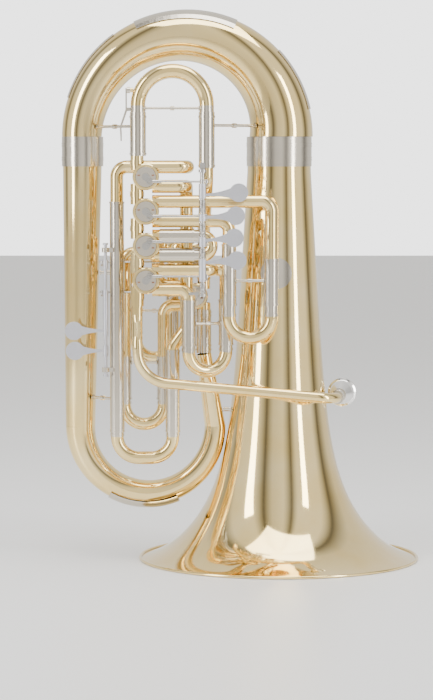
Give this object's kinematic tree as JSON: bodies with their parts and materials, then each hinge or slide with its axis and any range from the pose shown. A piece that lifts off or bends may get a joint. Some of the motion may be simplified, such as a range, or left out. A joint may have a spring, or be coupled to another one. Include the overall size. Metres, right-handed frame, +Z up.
{
  "type": "rotary tuba",
  "caption": "Rotary-valve bass tuba in lacquered brass with nickel silver slides, finger and thumb paddles, and a removable mouthpiece.",
  "frame": {"origin": "centre of the bell's mouth, on the surface that the horn stands on", "axes": "+Z up the bell's axis, +X towards the mouthpiece side, -Y towards the valve side"},
  "size_m": [0.5473, 0.43, 0.8401],
  "materials": {
    "lacquered_brass": "polished and clear lacquered",
    "nickel_silver": "polished nickel silver",
    "steel": "polished steel",
    "silver_plate": "satin plate",
    "mirror_silver": "bright silver plate",
    "cork": "cork"
  },
  "bodies": {
    "horn": {"bell": "lacquered_brass", "bell_rim": "lacquered_brass", "bell_collar": "nickel_silver", "branch_collar": "nickel_silver", "top_bow": "lacquered_brass", "top_bow_guards": "nickel_silver", "large_branch": "lacquered_brass", "bottom_bow": "lacquered_brass", "bottom_bow_guard": "nickel_silver", "inner_branch": "lacquered_brass", "inner_branch_sleeve": "nickel_silver", "main_slide_sleeves": "nickel_silver", "leadpipe": "lacquered_brass", "mouthpiece_receiver": "nickel_silver", "front_valve_casings": "lacquered_brass", "thumb_valve_casings": "lacquered_brass", "valve_caps": "lacquered_brass", "valve_back_caps": "lacquered_brass", "bearing_plates": "nickel_silver", "stop_corks": "cork", "valve_knuckles": "lacquered_brass", "loop_1": "lacquered_brass", "loop_2": "lacquered_brass", "loop_3": "lacquered_brass", "loop_4": "lacquered_brass", "loop_5": "lacquered_brass", "loop_6": "lacquered_brass", "slide_sleeves": "nickel_silver", "paddle_axle": "steel", "thumb_axle_brackets": "nickel_silver", "paddle_springs": "steel", "braces": "nickel_silver", "bell_disc": "nickel_silver"},
    "rotor_1": {"rotor_1": "steel"},
    "slide_1": {"slide_1": "nickel_silver"},
    "paddle_1": {"paddle_1": "silver_plate"},
    "link_1": {"link_1": "steel"},
    "rotor_2": {"rotor_2": "steel"},
    "slide_2": {"slide_2": "nickel_silver"},
    "paddle_2": {"paddle_2": "silver_plate"},
    "link_2": {"link_2": "steel"},
    "rotor_3": {"rotor_3": "steel"},
    "slide_3": {"slide_3": "nickel_silver"},
    "paddle_3": {"paddle_3": "silver_plate"},
    "link_3": {"link_3": "steel"},
    "rotor_4": {"rotor_4": "steel"},
    "slide_4": {"slide_4": "nickel_silver"},
    "paddle_4": {"paddle_4": "silver_plate"},
    "link_4": {"link_4": "steel"},
    "rotor_5": {"rotor_5": "steel"},
    "slide_5": {"slide_5": "nickel_silver"},
    "paddle_5": {"paddle_5": "silver_plate"},
    "link_5": {"link_5": "steel"},
    "rotor_6": {"rotor_6": "steel"},
    "slide_6": {"slide_6": "nickel_silver"},
    "paddle_6": {"paddle_6": "silver_plate"},
    "link_6": {"link_6": "steel"},
    "main_tuning_slide": {"main_tuning_slide": "nickel_silver"},
    "water_key": {"water_key": "nickel_silver"},
    "mouthpiece": {"mouthpiece": "mirror_silver"}
  },
  "joints": [
    {"name": "paddle_1_press", "type": "hinge", "parent": "horn", "child": "paddle_1", "pos_m": [-0.1164, -0.13323, 0.432], "axis": [0, 0, 1], "range_deg": [0, 28], "stiffness_Nm_per_rad": 0.35, "springref_deg": -28.65},
    {"name": "rotor_1_turn", "type": "hinge", "parent": "horn", "child": "rotor_1", "pos_m": [-0.201, -0.082, 0.432], "axis": [0, 1, 0], "range_deg": [-90.09, 0]},
    {"name": "link_1_travel", "type": "slide", "parent": "horn", "child": "link_1", "axis": [1, 0, 0], "range_m": [-0.01132, 0]},
    {"name": "paddle_2_press", "type": "hinge", "parent": "horn", "child": "paddle_2", "pos_m": [-0.1164, -0.13323, 0.4836], "axis": [0, 0, 1], "range_deg": [0, 28], "stiffness_Nm_per_rad": 0.35, "springref_deg": -28.65},
    {"name": "rotor_2_turn", "type": "hinge", "parent": "horn", "child": "rotor_2", "pos_m": [-0.201, -0.082, 0.4836], "axis": [0, 1, 0], "range_deg": [-90.09, 0]},
    {"name": "link_2_travel", "type": "slide", "parent": "horn", "child": "link_2", "axis": [1, 0, 0], "range_m": [-0.01132, 0]},
    {"name": "paddle_3_press", "type": "hinge", "parent": "horn", "child": "paddle_3", "pos_m": [-0.1164, -0.13323, 0.5352], "axis": [0, 0, 1], "range_deg": [0, 28], "stiffness_Nm_per_rad": 0.35, "springref_deg": -28.65},
    {"name": "rotor_3_turn", "type": "hinge", "parent": "horn", "child": "rotor_3", "pos_m": [-0.201, -0.082, 0.5352], "axis": [0, 1, 0], "range_deg": [0, 90.09]},
    {"name": "link_3_travel", "type": "slide", "parent": "horn", "child": "link_3", "axis": [1, 0, 0], "range_m": [-0.01132, 0]},
    {"name": "paddle_4_press", "type": "hinge", "parent": "horn", "child": "paddle_4", "pos_m": [-0.1164, -0.13323, 0.5868], "axis": [0, 0, 1], "range_deg": [0, 28], "stiffness_Nm_per_rad": 0.35, "springref_deg": -28.65},
    {"name": "rotor_4_turn", "type": "hinge", "parent": "horn", "child": "rotor_4", "pos_m": [-0.201, -0.082, 0.5868], "axis": [0, 1, 0], "range_deg": [0, 90.09]},
    {"name": "link_4_travel", "type": "slide", "parent": "horn", "child": "link_4", "axis": [1, 0, 0], "range_m": [-0.01132, 0]},
    {"name": "paddle_5_press", "type": "hinge", "parent": "horn", "child": "paddle_5", "pos_m": [-0.263, -0.06123, 0.4049], "axis": [0, 0, -1], "range_deg": [0, 28], "stiffness_Nm_per_rad": 0.35, "springref_deg": -28.65},
    {"name": "rotor_5_turn", "type": "hinge", "parent": "horn", "child": "rotor_5", "pos_m": [-0.1286, -0.01, 0.4049], "axis": [0, 1, 0], "range_deg": [0, 90.09]},
    {"name": "link_5_travel", "type": "slide", "parent": "horn", "child": "link_5", "axis": [1, 0, 0], "range_m": [0, 0.01132]},
    {"name": "paddle_6_press", "type": "hinge", "parent": "horn", "child": "paddle_6", "pos_m": [-0.263, -0.06123, 0.4644], "axis": [0, 0, -1], "range_deg": [0, 28], "stiffness_Nm_per_rad": 0.35, "springref_deg": -28.65},
    {"name": "rotor_6_turn", "type": "hinge", "parent": "horn", "child": "rotor_6", "pos_m": [-0.1286, -0.01, 0.4644], "axis": [0, 1, 0], "range_deg": [-90.09, 0]},
    {"name": "link_6_travel", "type": "slide", "parent": "horn", "child": "link_6", "axis": [1, 0, 0], "range_m": [0, 0.01132]},
    {"name": "main_tuning_slide_pull", "type": "slide", "parent": "horn", "child": "main_tuning_slide", "axis": [0, 0, 1], "range_m": [0, 0.05]},
    {"name": "slide_1_pull", "type": "slide", "parent": "horn", "child": "slide_1", "axis": [0, 0, -1], "range_m": [0, 0.05]},
    {"name": "slide_2_pull", "type": "slide", "parent": "horn", "child": "slide_2", "axis": [1, 0, 0], "range_m": [0, 0.004]},
    {"name": "slide_3_pull", "type": "slide", "parent": "horn", "child": "slide_3", "axis": [0, 0, -1], "range_m": [0, 0.045]},
    {"name": "slide_4_pull", "type": "slide", "parent": "horn", "child": "slide_4", "axis": [0, 0, -1], "range_m": [0, 0.09]},
    {"name": "slide_5_pull", "type": "slide", "parent": "horn", "child": "slide_5", "axis": [0, 0, -1], "range_m": [0, 0.05]},
    {"name": "slide_6_pull", "type": "slide", "parent": "horn", "child": "slide_6", "axis": [0, 0, -1], "range_m": [0, 0.05]},
    {"name": "water_key_open", "type": "hinge", "parent": "main_tuning_slide", "child": "water_key", "pos_m": [-0.229, -0.082, 0.687], "axis": [0, -1, 0], "range_deg": [0, 14], "stiffness_Nm_per_rad": 0.05, "springref_deg": -22.92},
    {"name": "mouthpiece_out", "type": "slide", "parent": "horn", "child": "mouthpiece", "axis": [0.1289, 0.9917, 0], "range_m": [0, 0.03]}
  ],
  "couplings": [
    {"joint": "rotor_1_turn", "follows": "paddle_1_press", "ratio": -3.2143},
    {"joint": "link_1_travel", "follows": "paddle_1_press", "m_per_rad": -0.023152},
    {"joint": "rotor_2_turn", "follows": "paddle_2_press", "ratio": -3.2143},
    {"joint": "link_2_travel", "follows": "paddle_2_press", "m_per_rad": -0.023152},
    {"joint": "rotor_3_turn", "follows": "paddle_3_press", "ratio": 3.2143},
    {"joint": "link_3_travel", "follows": "paddle_3_press", "m_per_rad": -0.023152},
    {"joint": "rotor_4_turn", "follows": "paddle_4_press", "ratio": 3.2143},
    {"joint": "link_4_travel", "follows": "paddle_4_press", "m_per_rad": -0.023152},
    {"joint": "rotor_5_turn", "follows": "paddle_5_press", "ratio": 3.2143},
    {"joint": "link_5_travel", "follows": "paddle_5_press", "m_per_rad": 0.023152},
    {"joint": "rotor_6_turn", "follows": "paddle_6_press", "ratio": -3.2143},
    {"joint": "link_6_travel", "follows": "paddle_6_press", "m_per_rad": 0.023152}
  ]
}
